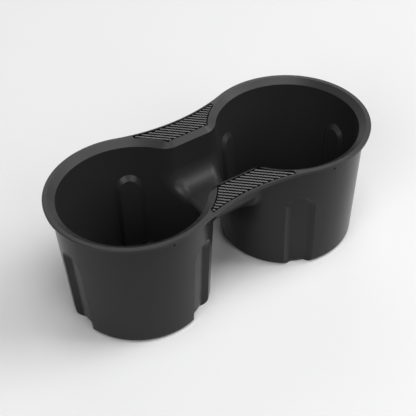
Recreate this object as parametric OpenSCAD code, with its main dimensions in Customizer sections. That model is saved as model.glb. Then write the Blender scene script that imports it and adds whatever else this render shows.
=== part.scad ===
// Twin cup holder insert for a car console: two open cups under one thin lip, joined by a neck
// with an open saddle between the cups. One moulding.
// X runs along the length, Y across, Z up. The origin is midway between the cups, on the base.

/* [Cups] */
// Distance between the axes of the two cups
cup_pitch = 96; // [92:1:104]
// Height from the base to the top of the lip
height = 70.6; // [66:0.2:78]
// Outer diameter of a cup just under the lip
cup_top_d = 81.6; // [79:0.2:83]
// Outer diameter of a cup at the base, before its edge is rounded
cup_base_d = 73.2; // [70:0.2:76]
// Thickness of the side walls
wall_t = 2.8; // [2:0.1:3.2]
// Thickness of the cup floors
floor_t = 2.8; // [2:0.1:3.4]
// Radius of the rounded edge around the base
base_edge_r = 3; // [2:0.5:4]

/* [Lip] */
// Outer diameter of the lip around a cup
lip_d = 88; // [87:0.2:91]
// Thickness of the lip at its outer edge
lip_t = 1.8; // [1.4:0.1:2.4]
// Radius of the lip's upper outer edge
lip_edge_r = 0.5; // [0.2:0.1:1]
// Width of the flat and rounded band outside the sloping band
lip_top_w = 2.4; // [2:0.1:3]
// Height of the sloping band around the mouths
slope_h = 2.4; // [1.5:0.1:3.5]
// Radius of the small fillet under the lip
lip_fillet_r = 0.8; // [0.6:0.1:1.2]
// Radius of the fillet under the lip on the side that faces the neck
neck_fillet_r = 2.4; // [2:0.1:2.8]
// Angle from the long axis to the ends of that fillet
fillet_end = 90.5; // [80:0.5:95]
// Turn of those ends from the long axis
fillet_turn = -1.5; // [-5:0.5:5]
// Width of the notches that end the fillet
notch_w = 0.9; // [0.6:0.1:1.5]
// Height of those notches, down from the lip
notch_h = 4.4; // [2:0.2:6]
// Depth of those notches in the cup's wall
notch_depth = 0.8; // [0.4:0.1:1]

/* [Neck] */
// Width of the neck at its narrowest
neck_w = 71.4; // [66:0.2:76]
// Width of the saddle between the cups, under the sloping band
saddle_w = 38; // [32:1:42]
// Depth of the saddle below the top of the lip
saddle_depth = 27; // [20:1:30]
// Radius of the saddle's lower corners
saddle_r = 11; // [8:0.5:14]
// Rounding from the floor of the saddle into a cup
blend_low_r = 6; // [4:0.5:7]
// Rounding from the sides of the saddle into a cup
blend_side_r = 4.2; // [3:0.2:5]

/* [Grip pads] */
// Depth of the recess that holds the grip pattern
pad_depth = 0.6; // [0.3:0.1:0.8]
// Width of the smooth band left outside a pad
pad_band = 1.2; // [0.8:0.1:3]
// Length of a pad, from tip to tip
pad_l = 50; // [44:1:52]
// Distance from the long axis to the straight inner edge of a pad
pad_y = 22.2; // [21.5:0.1:24]

/* [Ribs] */
// Width of a channel where it meets the outer wall
rib_w = 15.6; // [12:0.2:17]
// Width of a channel at its floor
rib_floor_w = 10.2; // [5:0.2:12]
// Depth of a channel
rib_depth = 2.7; // [1.5:0.1:3.2]
// Thickness of the wall in a channel, floor and sides
rib_t = 2; // [1.8:0.1:2.6]
// Height from the base to the top of a channel's arch
rib_h = 50; // [36:1:54]
// Angles from the long axis to the channels, on the left cup
rib_angles = [64, 184, 298.5]; // [0:0.5:360]

/* [Hidden] */
$fn = 180;
eps = 0.01;
far = 200;

lip_r = lip_d / 2;
mouth_r = cup_top_d / 2 - wall_t;
top_r = lip_r - lip_top_w;
wall_h = height - lip_t;
taper = atan((cup_top_d - cup_base_d) / 2 / wall_h);
cup_x = cup_pitch / 2;
// How far a cup's round wall falls back at the edge of a channel
rib_fall = cup_base_d / 2 - sqrt(pow(cup_base_d / 2, 2) - pow(rib_w / 2, 2));
// Angle between the floor of a channel and its sides
rib_slope = atan((rib_depth - rib_fall) / ((rib_w - rib_floor_w) / 2));
// How much wider than the groove outside the rib inside is, on each side
rib_grow = (rib_t - wall_t * cos(rib_slope)) / sin(rib_slope);
slope_w = top_r - mouth_r;
// How far the outer side of the lip and of the neck leans in at its foot
lip_draft = 0.2;
neck_y = neck_w / 2;
// The neck's edge is an arc that runs into the lip circles; blend_cut lets it cross them a little.
blend_cut = 0.05;
neck_r = (pow(cup_x, 2) + pow(neck_y, 2) - pow(lip_r - blend_cut, 2)) / (2 * (lip_r - blend_cut - neck_y));
neck_c = neck_y + neck_r;
tangent_y = neck_c * lip_r / (lip_r + neck_r);
// Rounding between the sloping bands of the saddle and of a mouth
blend_top_r = 2.4;
// Steps round a blend between the saddle and a cup, and round each lower corner of the saddle
blend_n = 8;
saddle_n = 14;

// Outer radius of a cup's wall at height z, moved inwards by inset
function wall_r(z, inset = 0) = cup_base_d / 2 + z * tan(taper) - inset;

// Points along a round stretch, from angle a0 to a1 about (cx, cy)
function arc(cx, cy, r, a0, a1, n = 10) =
    [for (i = [0:n]) [cx + r * cos(a0 + (a1 - a0) * i / n), cy + r * sin(a0 + (a1 - a0) * i / n)]];

// Section of a tapered cup with a rounded lower edge, from its axis out, between z0 and z1
function cup_section(inset, edge_r, z0, z1) =
    let (cx = wall_r(z0 + edge_r, inset) - edge_r / cos(taper))
    concat(
        [[0, z0]],
        arc(cx, z0 + edge_r, edge_r, -90, -taper),
        [[wall_r(z1, inset), z1], [0, z1]]
    );

module at_cups() {
    for (side = [-1, 1])
        translate([side * cup_x, 0, 0])
            rotate([0, 0, side < 0 ? 0 : 180])
                children();
}

module cup_form(inset, edge_r, z0, z1) {
    rotate_extrude()
        polygon(cup_section(inset, edge_r, z0, z1));
}

// Tool that cuts one arched channel across a wall, grown by grow on its sides and moved inwards by inset
module channel(grow, inset) {
    floor_w = rib_floor_w / 2 + grow;
    arch_z = rib_h - rib_w / 2;
    deep = rib_depth + 1;
    reach = 6;
    below = 5;
    // Half width of the channel at depth y below the outer wall, carried on past the wall and its floor
    function half_w(y) = floor_w + (rib_depth - y) / tan(rib_slope);
    translate([wall_r(0, inset), 0, 0])
        rotate([0, taper, 0])
            translate([0, 0, arch_z]) {
                translate([0, 0, -arch_z - below])
                    linear_extrude(arch_z + below)
                        polygon([
                            [-deep, -half_w(deep)],
                            [reach, -half_w(-reach)],
                            [reach, half_w(-reach)],
                            [-deep, half_w(deep)]
                        ]);
                rotate([0, 90, 0])
                    translate([0, 0, -deep])
                        cylinder(h = deep + reach, r1 = half_w(deep), r2 = half_w(-reach));
            }
}

module channels(grow, inset) {
    for (angle = rib_angles)
        rotate([0, 0, angle])
            channel(grow, inset);
}

// Outside of one cup, with the channels pressed in
module cup_outside() {
    difference() {
        cup_form(0, base_edge_r, 0, wall_h + eps);
        channels(0, 0);
    }
    cup_form(rib_depth, base_edge_r, 0, wall_h);
}

// Inside of one cup, with the backs of the channels standing proud as ribs
module cup_inside() {
    difference() {
        cup_form(wall_t, base_edge_r, floor_t, height + 1);
        channels(rib_grow, wall_t);
    }
    cup_form(rib_depth + rib_t, base_edge_r, floor_t, height + 1);
}

// Lip around one cup, round on its outer upper edge
module cup_lip() {
    rotate_extrude()
        polygon(concat(
            [[0, wall_h], [lip_r - lip_draft, wall_h]],
            arc(lip_r - lip_edge_r, height - lip_edge_r, lip_edge_r, 0, 90),
            [[0, height]]
        ));
}

// Section of a fillet in the corner under the lip
module fillet_section(rf) {
    r0 = wall_r(wall_h) - 0.5;
    polygon(concat(
        [[r0, wall_h + 0.5], [r0, wall_h - rf - 0.6]],
        arc(wall_r(wall_h) + rf, wall_h - rf, rf, 180, 90),
        [[wall_r(wall_h) + rf, wall_h + 0.5]]
    ));
}

// Fillets under the lip: a small one all round, and a larger one on the side that faces the neck
module lip_fillet() {
    rotate_extrude()
        fillet_section(lip_fillet_r);
    rotate([0, 0, fillet_turn - fillet_end])
        rotate_extrude(angle = 2 * fillet_end)
            fillet_section(neck_fillet_r);
}

// Notches where the larger fillet ends
module notches() {
    for (side = [-1, 1])
        rotate([0, 0, fillet_turn + side * fillet_end])
            translate([wall_r(wall_h - notch_h) - notch_depth, -notch_w / 2, wall_h - notch_h])
                cube([lip_r - wall_r(wall_h), notch_w, notch_h]);
}

// Plate of the neck, before its curved edges are cut
module neck_plate() {
    translate([-cup_x, -tangent_y, wall_h])
        cube([cup_pitch, 2 * tangent_y, lip_t]);
}

// Tool for one concave edge of the neck, with the same rounding as the lip
module neck_edge() {
    translate([0, neck_c, 0])
        rotate_extrude($fn = 360)
            polygon(concat(
                [[0, wall_h - 1], [neck_r + lip_draft, wall_h - 1], [neck_r + lip_draft, wall_h]],
                arc(neck_r + lip_edge_r, height - lip_edge_r, lip_edge_r, 180, 90),
                [[neck_r + lip_edge_r, height + 1], [0, height + 1]]
            ));
}

// Half of the saddle's section from the top down to the middle: each entry is a point, the direction in
// which its surface lies and the size of the rounding where it runs into a cup
function saddle_half(top_z, slope) = concat(
    slope ? [
        [[pad_y - 0.3, height + 1], [1, 0], blend_top_r],
        [[pad_y - 0.3, height], [1, 0], blend_top_r],
        [[saddle_w / 2, height - slope_h], [1, 0], blend_side_r]
    ] : [[[saddle_w / 2, top_z], [1, 0], blend_side_r]],
    [for (i = [0:saddle_n])
        let (a = 90 * i / saddle_n)
        [[saddle_w / 2 - saddle_r * (1 - cos(a)), height - saddle_depth + saddle_r * (1 - sin(a))],
            [cos(a), -sin(a)],
            blend_side_r + (blend_low_r - blend_side_r) * i / saddle_n]
    ]
);

// Whole section, from one side to the other
function saddle_line(top_z, slope) =
    let (half = saddle_half(top_z, slope), n = len(half))
    concat(
        half,
        [for (i = [n - 1:-1:0]) [[-half[i][0].x, half[i][0].y], [-half[i][1].x, half[i][1].y], half[i][2]]]
    );

// Radius of the opening of a cup at height z, on its wall or on the sloping band
function opening_r(z) = z < height - slope_h
    ? wall_r(z, wall_t)
    : mouth_r + (z - height + slope_h) * slope_w / slope_h;

// One point of the saddle's surface: turn runs from 0, on the straight saddle, to 1, on the cup's wall,
// and out is how far the surface is moved into the material. Past 1 the surface runs on, straight.
function saddle_point(p, turn, out) =
    let (
        a = min(turn, 1) * 80,
        r = p[2] - out,
        on = max(turn - 1, 0) * 3,
        e = p[2] - r * sin(a) - on * cos(a),
        g = p[2] - r * cos(a) + on * sin(a),
        y = p[0].x + p[1].x * g,
        z = p[0].y + p[1].y * g
    )
    [cup_x - sqrt(pow(opening_r(z) + e, 2) - y * y), y, z];

// Trough that runs from cup to cup and opens into both with rounded edges, as a closed form
module saddle_form(out, top_z, slope) {
    line = saddle_line(top_z, slope);
    n = len(line);
    turns = [for (i = [0:blend_n]) i / blend_n, 2];
    m = len(turns);
    // Rings from the left cup to the right one
    points = concat(
        [for (k = [m - 1:-1:0], p = line) let (q = saddle_point(p, turns[k], out)) [-q.x, q.y, q.z]],
        [for (k = [0:m - 1], p = line) saddle_point(p, turns[k], out)]
    );
    rings = 2 * m;
    polyhedron(
        points = points,
        faces = concat(
            [for (k = [0:rings - 2], i = [0:n - 1])
                let (j = (i + 1) % n)
                each [[k * n + i, k * n + j, (k + 1) * n + j], [k * n + i, (k + 1) * n + j, (k + 1) * n + i]]],
            [for (i = [0:n / 2 - 2])
                each [[i, n - 2 - i, i + 1], [i, n - 1 - i, n - 2 - i]]],
            [for (i = [0:n / 2 - 2], c = (rings - 1) * n)
                each [[c + i, c + i + 1, c + n - 2 - i], [c + i, c + n - 2 - i, c + n - 1 - i]]]
        )
    );
}

// Sloping band around the mouths
module slope_cut() {
    at_cups()
        translate([0, 0, height - slope_h - 1])
            cylinder(h = slope_h + 2, r1 = mouth_r - slope_w / slope_h, r2 = top_r + slope_w / slope_h);
}

// Outline of one grip pad: straight inside, following the lip outside
module pad_outline() {
    difference() {
        translate([-cup_x, pad_y])
            square([cup_pitch, neck_y]);
        translate([0, neck_c])
            circle(r = neck_r + pad_band, $fn = 360);
        for (side = [-1, 1])
            translate([side * cup_x, 0])
                circle(r = top_r + 0.3);
    }
}

module pad_recesses() {
    for (side = [0, 1])
        mirror([0, side, 0])
            translate([0, 0, height - pad_depth])
                linear_extrude(pad_depth + 1)
                    intersection() {
                        pad_outline();
                        square([pad_l, far], center = true);
                    }
}

module insert() color([0.09, 0.09, 0.09]) {
    difference() {
        union() {
            at_cups() {
                cup_outside();
                cup_lip();
                lip_fillet();
            }
            difference() {
                neck_plate();
                for (side = [0, 1])
                    mirror([0, side, 0])
                        neck_edge();
            }
            saddle_form(wall_t, height - 0.6, false);
        }
        at_cups() {
            cup_inside();
            notches();
        }
        saddle_form(0, height, true);
        slope_cut();
        pad_recesses();
    }
}

insert();
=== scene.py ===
"""Looks of the cup holder insert: plastic material, grip ridges, floor, lights and camera."""
import math

import bmesh
import bpy
from mathutils import Matrix, Vector


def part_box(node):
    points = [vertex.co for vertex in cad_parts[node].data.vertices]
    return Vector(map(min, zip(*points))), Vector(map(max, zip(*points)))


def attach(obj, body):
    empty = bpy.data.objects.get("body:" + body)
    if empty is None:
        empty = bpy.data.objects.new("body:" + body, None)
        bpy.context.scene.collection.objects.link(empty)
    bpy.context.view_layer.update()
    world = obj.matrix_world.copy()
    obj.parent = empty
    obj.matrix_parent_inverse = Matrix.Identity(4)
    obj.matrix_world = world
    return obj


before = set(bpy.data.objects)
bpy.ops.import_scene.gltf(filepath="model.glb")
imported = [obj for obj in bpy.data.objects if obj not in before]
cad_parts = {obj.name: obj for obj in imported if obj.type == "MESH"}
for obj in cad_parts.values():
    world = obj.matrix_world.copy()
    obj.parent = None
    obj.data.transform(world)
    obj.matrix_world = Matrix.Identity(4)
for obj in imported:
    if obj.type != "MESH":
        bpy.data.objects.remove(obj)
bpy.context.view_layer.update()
scene = bpy.context.scene
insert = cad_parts["insert"]

# Sizes in metres, from the frame's box and from the part's driving dimensions
low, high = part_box("insert")
TOP = high.z
LIP_R = (high.y - low.y) / 2
LIP_TOP_W = 0.0024
CUP_X = (high.x - low.x) / 2 - LIP_R
NECK_Y = 0.0357
NECK_R = (CUP_X**2 + NECK_Y**2 - LIP_R**2) / (2 * (LIP_R - NECK_Y))
NECK_C = NECK_Y + NECK_R
PAD_Y = 0.0222
PAD_BAND = 0.0012
PAD_HALF = 0.025
PAD_DEPTH = 0.0006
PAD_RING_GAP = 0.0003
PAD_RING_R = LIP_R - LIP_TOP_W + PAD_RING_GAP

# Grain of the plastic: noise cells to a metre, their detail, and their height in metres
GRAIN_SCALE = 1400
GRAIN_DETAIL = 3
GRAIN_HEIGHT = 0.0002
# Blue of the plastic for each part of red and green
COOL = 1.02

# Zigzag rows of a pad: distance between rows, length of a zigzag and its half width
ROW_PITCH = 0.00207
ZIGZAG = 0.00156
SWING = 0.00024
# Shift that puts a pad's outermost row along the border of the ring
ROW_SHIFT = 0.00084
# Rows to each side of the middle one, and bends to each side of a row's middle
ROWS = 30
BENDS = 80
# Steps in which a stretch between two bends is tested against the ridges' border
CUTS = 4
# Distance between the ridges' middle lines and the pad's border, and between points that count as one
RIDGE_INSET = 0.0006
SAME_POINT = 0.000001
# Gap between the painted-shade floor sheet and the bottom of the recess, and between the ridges and its top
FLOOR_GAP = 0.00002
RIDGE_GAP = 0.00004
VALLEY_Z = TOP - PAD_DEPTH + FLOOR_GAP
RIDGE_Z = TOP - RIDGE_GAP
# Half widths of a ridge at its foot, at its shoulder and on its top, and the height of its shoulder's slope
FOOT_HALF = 0.00046
SHOULDER_HALF = 0.0004
TOP_HALF = 0.00024
SHOULDER_H = 0.00014
# Offsets and heights of a ridge's section, from one foot over its top to the other
SECTION_HALF = ((FOOT_HALF, VALLEY_Z), (SHOULDER_HALF, RIDGE_Z - SHOULDER_H), (TOP_HALF, RIDGE_Z))
SECTION = SECTION_HALF + tuple((-offset, z) for offset, z in reversed(SECTION_HALF))
ALONG = Vector((1, -1)).normalized()
ACROSS = Vector((1, 1)).normalized()

# Painted-shade sheet over the floor of the recess: strips to each side of its middle, and the share of the
# length they cover
STRIPS = 60
FLOOR_SHARE = 0.985
# Distance between the painted-shade floor sheet and the pad's border
FLOOR_INSET = 0.0001
# Material slots of the ridges' mesh: the lighter painted highlight of the ridges, and the painted shade of
# the recess and of the ridges' lower sides and ends
PAINTED_HIGHLIGHT_SLOT, PAINTED_SHADE_SLOT = 0, 1

# Studio: half width of the floor, side and distance of a lamp, and the point that lamps aim at
FLOOR_HALF = 9
BOX_SIDE = 1.5
BOX_DISTANCE = 3
BOX_AIM = Vector((0, 0, 0.04))
# Name, azimuth and elevation in degrees, and power in watts
SOFTBOXES = (
    ("left_box", -60, 35, 27),
    ("front_box", 0, 30, 16),
    ("right_box", 60, 35, 25),
    ("right_high_box", 60, 55, 21),
    ("side_box", 90, 35, 10),
    ("back_box", 150, 32, 10),
    ("top_box", 0, 80, 28),
)
# Grey of the floor and the world as they are seen, and as they light the object
FLOOR_TONES = (0.94, 0.2)
WORLD_TONES = (0.9, 0.0)

# Camera at the photograph's viewing angle: degrees, metres, and lengths on the picture in pixels
CAMERA_AZ, CAMERA_EL, CAMERA_ROLL = -32.09, 40.66, -2.7
CAMERA_DISTANCE = 0.54482
CAMERA_TARGET = Vector((-0.00698, 0.00662, 0.035))
FOCAL = 1022
SHIFT_X, SHIFT_Y = 12, -2.4
PICTURE = 416
SENSOR_MM = 36


def socket(node, name, value):
    node.inputs[name].default_value = value


def plastic(name, shade, rough, gloss, grain):
    """Moulded matte plastic with a fine spark-eroded grain."""
    mat = bpy.data.materials.new(name)
    mat.use_nodes = True
    nodes, links = mat.node_tree.nodes, mat.node_tree.links
    shader = nodes["Principled BSDF"]
    socket(shader, "Base Color", (shade, shade, shade * COOL, 1))
    socket(shader, "Roughness", rough)
    socket(shader, "Specular IOR Level", gloss)
    coords = nodes.new("ShaderNodeTexCoord")
    fine = nodes.new("ShaderNodeTexNoise")
    socket(fine, "Scale", GRAIN_SCALE)
    socket(fine, "Detail", GRAIN_DETAIL)
    bump = nodes.new("ShaderNodeBump")
    socket(bump, "Strength", grain)
    socket(bump, "Distance", GRAIN_HEIGHT)
    links.new(coords.outputs["Object"], fine.inputs["Vector"])
    links.new(fine.outputs["Fac"], bump.inputs["Height"])
    links.new(bump.outputs["Normal"], shader.inputs["Normal"])
    return mat


def pad_edges(x, inset):
    """Inner and outer edge, in y, of the pad on the +Y side at x, that far from its border."""
    outer = NECK_C - math.sqrt((NECK_R + PAD_BAND + inset) ** 2 - x * x)
    ring = PAD_RING_R + inset
    off = CUP_X - abs(x)
    inner = PAD_Y + inset
    if off < ring:
        inner = max(inner, math.sqrt(ring * ring - off * off))
    return inner, outer


def in_pad(x, y):
    """Whether the middle line of a ridge may pass there."""
    inner, outer = pad_edges(x, RIDGE_INSET)
    return abs(x) < PAD_HALF - RIDGE_INSET and inner < y < outer


def row_in_pad(points, side):
    """Pieces of one zigzag row inside the pad, each ending at the ridges' border."""
    pieces = []
    piece = []
    for a, b in zip(points, points[1:]):
        for k in range(CUTS):
            p = a.lerp(b, k / CUTS)
            if in_pad(p.x * side, p.y * side):
                if k == 0 or not piece:
                    piece.append(p)
                last = p
            elif piece:
                if (last - piece[-1]).length > SAME_POINT:
                    piece.append(last)
                pieces.append(piece)
                piece = []
    # A piece of only one stretch would be a loose crumb
    return [piece for piece in pieces if len(piece) > 2]


def add_face(mesh, corners, slot):
    face = mesh.faces.new(corners)
    face.material_index = slot
    face.smooth = slot == PAINTED_HIGHLIGHT_SLOT


def add_ridge(mesh, row):
    """Ridge along a row's points; its shoulders and top take the lighter painted highlight, its lowest
    sides and its ends painted shade.
    """
    rings = []
    for point in row:
        places = [(point.x - ACROSS.x * offset, point.y - ACROSS.y * offset, z) for offset, z in SECTION]
        rings.append([mesh.verts.new(place) for place in places])
    last_side = len(SECTION) - 2
    for a, b in zip(rings, rings[1:]):
        for k in range(len(SECTION) - 1):
            # The lowest band on each side of a ridge gets painted shade, the shoulders and top the painted
            # highlight
            slot = PAINTED_SHADE_SLOT if k in (0, last_side) else PAINTED_HIGHLIGHT_SLOT
            add_face(mesh, (a[k], b[k], b[k + 1], a[k + 1]), slot)
    add_face(mesh, rings[0], PAINTED_SHADE_SLOT)
    add_face(mesh, rings[-1][::-1], PAINTED_SHADE_SLOT)


def add_rows(mesh, side):
    """Ridges of one pad, in rows at 45 degrees to the part's length."""
    for i in range(-ROWS, ROWS + 1):
        middle = i * ROW_PITCH + side * ROW_SHIFT
        points = [
            ACROSS * (middle + (SWING if j % 2 else -SWING)) + ALONG * (j * ZIGZAG / 2)
            for j in range(-BENDS, BENDS + 1)
        ]
        for piece in row_in_pad(points, side):
            add_ridge(mesh, piece)


def add_painted_shade_sheets(mesh, side):
    """Near-black sheet over the floor of one pad between its ridges, and one that lines the recess wall:
    painted shade.
    """
    near, far = [], []
    for k in range(2 * STRIPS + 1):
        x = PAD_HALF * (k / STRIPS - 1) * FLOOR_SHARE
        inner, outer = pad_edges(x, FLOOR_INSET)
        if outer > inner:
            near.append(mesh.verts.new((x * side, inner * side, VALLEY_Z)))
            far.append(mesh.verts.new((x * side, outer * side, VALLEY_Z)))
    for k in range(len(near) - 1):
        add_face(mesh, (near[k], near[k + 1], far[k + 1], far[k]), PAINTED_SHADE_SLOT)
    foot = near + far[::-1]
    crest = [mesh.verts.new((v.co.x, v.co.y, RIDGE_Z)) for v in foot]
    for k in range(len(foot)):
        add_face(mesh, (foot[k - 1], crest[k - 1], crest[k], foot[k]), PAINTED_SHADE_SLOT)


def grip_ridges(materials):
    """Ridges of both pads with their painted highlight, and painted-shade sheets over the recess floors and
    walls, as one piece.
    """
    mesh = bmesh.new()
    for side in (1, -1):
        add_rows(mesh, side)
        add_painted_shade_sheets(mesh, side)
    data = bpy.data.meshes.new("grip_ridges")
    mesh.to_mesh(data)
    mesh.free()
    for material in materials:
        data.materials.append(material)
    obj = bpy.data.objects.new("grip_ridges", data)
    scene.collection.objects.link(obj)
    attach(obj, "root")


def towards(azimuth, elevation):
    """Direction from the object to that azimuth and elevation in degrees."""
    az, el = math.radians(azimuth), math.radians(elevation)
    return Vector((math.sin(az) * math.cos(el), -math.cos(az) * math.cos(el), math.sin(el)))


def softbox(name, azimuth, elevation, power):
    """Large square studio lamp in that direction."""
    data = bpy.data.lights.new(name, "AREA")
    data.shape = "SQUARE"
    data.size = BOX_SIDE
    data.energy = power
    obj = bpy.data.objects.new(name, data)
    scene.collection.objects.link(obj)
    direction = towards(azimuth, elevation)
    obj.location = BOX_AIM + direction * BOX_DISTANCE
    obj.rotation_mode = "QUATERNION"
    obj.rotation_quaternion = direction.to_track_quat("Z", "Y")


def seen_directly(nodes, links):
    """1 for rays from the camera, by gloss or through glass, else 0."""
    path = nodes.new("ShaderNodeLightPath")
    total = path.outputs["Is Camera Ray"]
    for name in ("Is Glossy Ray", "Is Transmission Ray"):
        join = nodes.new("ShaderNodeMath")
        join.operation = "MAXIMUM"
        links.new(total, join.inputs[0])
        links.new(path.outputs[name], join.inputs[1])
        total = join.outputs["Value"]
    return total


def two_tones(nodes, links, seen, light):
    """Grey that is seen, against the one that lights the object."""
    mix = nodes.new("ShaderNodeMix")
    mix.data_type = "RGBA"
    socket(mix, "A", (light, light, light, 1))
    socket(mix, "B", (seen, seen, seen, 1))
    links.new(seen_directly(nodes, links), mix.inputs["Factor"])
    return mix.outputs["Result"]


def pale_floor():
    """Wide pale floor under the object, which keeps its shadow."""
    corners = [(x * FLOOR_HALF, y * FLOOR_HALF, 0) for x, y in ((-1, -1), (1, -1), (1, 1), (-1, 1))]
    mesh = bpy.data.meshes.new("floor")
    mesh.from_pydata(corners, [], [(0, 1, 2, 3)])
    floor = bpy.data.objects.new("floor", mesh)
    scene.collection.objects.link(floor)
    mat = bpy.data.materials.new("floor")
    mat.use_nodes = True
    nodes, links = mat.node_tree.nodes, mat.node_tree.links
    shader = nodes["Principled BSDF"]
    socket(shader, "Roughness", 0.9)
    socket(shader, "Specular IOR Level", 0.1)
    links.new(two_tones(nodes, links, *FLOOR_TONES), shader.inputs["Base Color"])
    mesh.materials.append(mat)


def pale_world():
    """Pale surroundings to the eye and in reflections, which give no light of their own."""
    world = bpy.data.worlds.new("studio")
    scene.world = world
    world.use_nodes = True
    nodes, links = world.node_tree.nodes, world.node_tree.links
    background = nodes["Background"]
    links.new(two_tones(nodes, links, *WORLD_TONES), background.inputs["Color"])
    socket(background, "Strength", 1)


def camera():
    """The photograph's camera, turned a little about its line of sight."""
    back = towards(CAMERA_AZ, CAMERA_EL)
    az, roll = math.radians(CAMERA_AZ), math.radians(CAMERA_ROLL)
    level = Vector((math.cos(az), math.sin(az), 0))
    upright = back.cross(level)
    right = level * math.cos(roll) + upright * math.sin(roll)
    up = upright * math.cos(roll) - level * math.sin(roll)
    data = bpy.data.cameras.new("camera")
    obj = bpy.data.objects.new("camera", data)
    scene.collection.objects.link(obj)
    place = Matrix((right, up, back)).transposed().to_4x4()
    place.translation = CAMERA_TARGET + back * CAMERA_DISTANCE
    obj.matrix_world = place
    data.sensor_width = SENSOR_MM
    data.lens = FOCAL / PICTURE * SENSOR_MM
    data.shift_x, data.shift_y = SHIFT_X / PICTURE, SHIFT_Y / PICTURE
    data.clip_start, data.clip_end = 0.01, 50
    scene.camera = obj


# Shade, roughness, gloss and strength of the grain
black = plastic("black_plastic", 0.027, 0.27, 0.18, 0.25)
# Glossier copy of the black plastic on the ridges, whose lighter base is a painted highlight for the light
# the ridges catch
ridge = plastic("ridge_gloss_painted_highlight", 0.1, 0.3, 0.5, 0.1)
# Near-black copy of the black plastic: painted shade in the recesses between the ridges and on the ridges'
# lower sides and ends
painted_shade = plastic("valley_painted_shade", 0.003, 0.7, 0.02, 0.25)
insert.data.materials.clear()
insert.data.materials.append(black)
grip_ridges((ridge, painted_shade))

pale_floor()
pale_world()
for box in SOFTBOXES:
    softbox(*box)
camera()
scene.view_settings.view_transform = "Standard"
